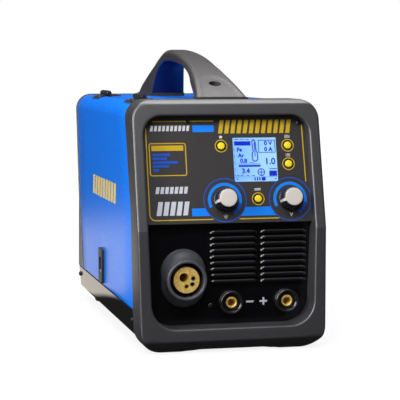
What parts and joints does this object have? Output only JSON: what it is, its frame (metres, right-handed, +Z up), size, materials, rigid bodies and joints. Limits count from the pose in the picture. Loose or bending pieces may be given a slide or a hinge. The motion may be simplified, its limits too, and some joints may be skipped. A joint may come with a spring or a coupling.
{
  "type": "MIG welding machine",
  "caption": "Portable MIG welder: leaning control panel in a moulded bezel, arched handle, hinged side door over a wire feeder and spool, torch and output sockets.",
  "frame": {"origin": "centre of the bounding box's footprint, on the floor under the feet", "axes": "+X to the right seen from the front, +Y to the rear, +Z up; the front faces -Y"},
  "size_m": [0.23, 0.5026, 0.359],
  "materials": {
    "bezel": "satin moulded",
    "gloss_black": "gloss",
    "rubber": "matt",
    "blue_paint": "satin powder coat",
    "zinc_sheet": "satin",
    "panel_film": "matt film",
    "display": "lit display behind a clear window",
    "circuit_board": "satin",
    "brass": "machined",
    "dark_plastic": "satin",
    "socket_plastic": "gloss",
    "black_screw": "black oxide",
    "handle_grey": "satin",
    "blue_plastic": "satin",
    "hinge_steel": "semi-gloss",
    "steel": "satin",
    "aluminium": "extruded",
    "core_steel": "varnished",
    "copper_winding": "varnished",
    "cast_grey": "cast",
    "motor_grey": "satin",
    "latch_grey": "satin",
    "knob_black": "satin",
    "knob_cap": "satin",
    "yellow_key": "satin",
    "spool_black": "satin",
    "copper_wire": "wound wire",
    "rocker_red": "gloss"
  },
  "bodies": {
    "case": {"front_bezel": "bezel", "rear_bezel": "bezel", "base_tray": "gloss_black", "rubber_feet": "rubber", "right_cover": "blue_paint", "partition_wall": "zinc_sheet", "control_panel": "panel_film", "lower_panel": "gloss_black", "display_window": "display", "control_board": "circuit_board", "torch_shroud": "bezel", "torch_body": "brass", "torch_contacts": "dark_plastic", "socket_bodies": "socket_plastic", "socket_inserts": "brass", "case_screws": "black_screw", "handle_shell": "handle_grey", "handle_liner": "blue_plastic", "handle_gasket": "rubber", "hinge_leaves": "hinge_steel", "hinge_pins": "steel", "rear_panel": "gloss_black", "fan_frame": "dark_plastic", "fan_grille": "black_screw", "gas_inlet": "brass", "cable_gland": "dark_plastic", "switch_housing": "dark_plastic", "power_board": "circuit_board", "heat_sink": "aluminium", "transformer": "core_steel", "output_choke": "copper_winding", "gas_valve": "steel", "gas_hose": "rubber", "feed_plate": "cast_grey", "feed_motor": "motor_grey", "wire_guides": "brass", "spool_spindle": "steel"},
    "door": {"side_door": "blue_paint", "door_leaves": "hinge_steel", "latch_housing": "dark_plastic"},
    "latch": {"latch_slide": "latch_grey"},
    "left_dial": {"left_knob": "knob_black", "left_knob_cap": "knob_cap"},
    "right_dial": {"right_knob": "knob_black", "right_knob_cap": "knob_cap"},
    "home_key": {"home_button": "yellow_key"},
    "setup_key": {"setup_button": "yellow_key"},
    "program_key": {"program_button": "yellow_key"},
    "material_key": {"material_button": "yellow_key"},
    "rotor": {"fan_rotor": "dark_plastic"},
    "spool": {"spool_hub": "dark_plastic", "wire_spool": "spool_black", "wire_coil": "copper_wire"},
    "nut": {"spool_nut": "dark_plastic"},
    "drive": {"drive_roll": "steel"},
    "arm": {"pressure_arm": "cast_grey"},
    "idler": {"pressure_roll": "steel"},
    "tensioner": {"tension_rod": "steel"},
    "tension_cap": {"tension_knob": "knob_black"},
    "rocker": {"power_rocker": "rocker_red"}
  },
  "joints": [
    {"name": "door_hinge", "type": "hinge", "parent": "case", "child": "door", "pos_m": [-0.087, -0.11408, 0.2993], "axis": [0, 1, 0], "range_deg": [0, 105]},
    {"name": "latch_slide_up", "type": "slide", "parent": "door", "child": "latch", "axis": [0, 0, 1], "range_m": [0, 0.006], "stiffness_N_per_m": 200},
    {"name": "left_dial_turn", "type": "hinge", "parent": "case", "child": "left_dial", "pos_m": [-0.0046, -0.22129, 0.17825], "axis": [0, 0.9699, -0.2436], "range_deg": [-30, 240]},
    {"name": "right_dial_turn", "type": "hinge", "parent": "case", "child": "right_dial", "pos_m": [0.076, -0.22129, 0.17825], "axis": [0, 0.9699, -0.2436], "range_deg": [-30, 240]},
    {"name": "home_key_press", "type": "slide", "parent": "case", "child": "home_key", "axis": [0, 0.9699, -0.2436], "range_m": [0, 0.001], "stiffness_N_per_m": 1500},
    {"name": "setup_key_press", "type": "slide", "parent": "case", "child": "setup_key", "axis": [0, 0.9699, -0.2436], "range_m": [0, 0.001], "stiffness_N_per_m": 1500},
    {"name": "program_key_press", "type": "slide", "parent": "case", "child": "program_key", "axis": [0, 0.9699, -0.2436], "range_m": [0, 0.001], "stiffness_N_per_m": 1500},
    {"name": "material_key_press", "type": "slide", "parent": "case", "child": "material_key", "axis": [0, 0.9699, -0.2436], "range_m": [0, 0.001], "stiffness_N_per_m": 1500},
    {"name": "fan_spin", "type": "hinge", "parent": "case", "child": "rotor", "pos_m": [0.04, 0.19592, 0.156], "axis": [0, 1, 0], "continuous": true},
    {"name": "spool_spin", "type": "hinge", "parent": "case", "child": "spool", "pos_m": [-0.067, 0.10192, 0.158], "axis": [-1, 0, 0], "continuous": true},
    {"name": "nut_turn", "type": "hinge", "parent": "spool", "child": "nut", "pos_m": [-0.1, 0.10192, 0.158], "axis": [-1, 0, 0], "range_deg": [0, 720]},
    {"name": "drive_spin", "type": "hinge", "parent": "case", "child": "drive", "pos_m": [-0.0582, -0.12908, 0.0735], "axis": [1, 0, 0], "continuous": true},
    {"name": "tensioner_swing", "type": "hinge", "parent": "case", "child": "tensioner", "pos_m": [-0.0712, -0.10008, 0.0655], "axis": [-1, 0, 0], "range_deg": [0, 90]},
    {"name": "arm_lift", "type": "hinge", "parent": "case", "child": "arm", "pos_m": [-0.0582, -0.15608, 0.1065], "axis": [1, 0, 0], "range_deg": [0, 20]},
    {"name": "idler_spin", "type": "hinge", "parent": "arm", "child": "idler", "pos_m": [-0.0582, -0.12908, 0.1005], "axis": [-1, 0, 0], "continuous": true},
    {"name": "tension_cap_turn", "type": "hinge", "parent": "tensioner", "child": "tension_cap", "pos_m": [-0.0712, -0.10008, 0.14], "axis": [0, 0, 1], "range_deg": [-360, 360]},
    {"name": "rocker_tip", "type": "hinge", "parent": "case", "child": "rocker", "pos_m": [0.062, 0.20892, 0.246], "axis": [-1, 0, 0], "range_deg": [0, 20]}
  ],
  "couplings": [
    {"joint": "drive_spin", "follows": "spool_spin", "ratio": 5.8667},
    {"joint": "idler_spin", "follows": "spool_spin", "ratio": 8},
    {"joint": "arm_lift", "follows": "tensioner_swing", "ratio": 0.2222}
  ]
}
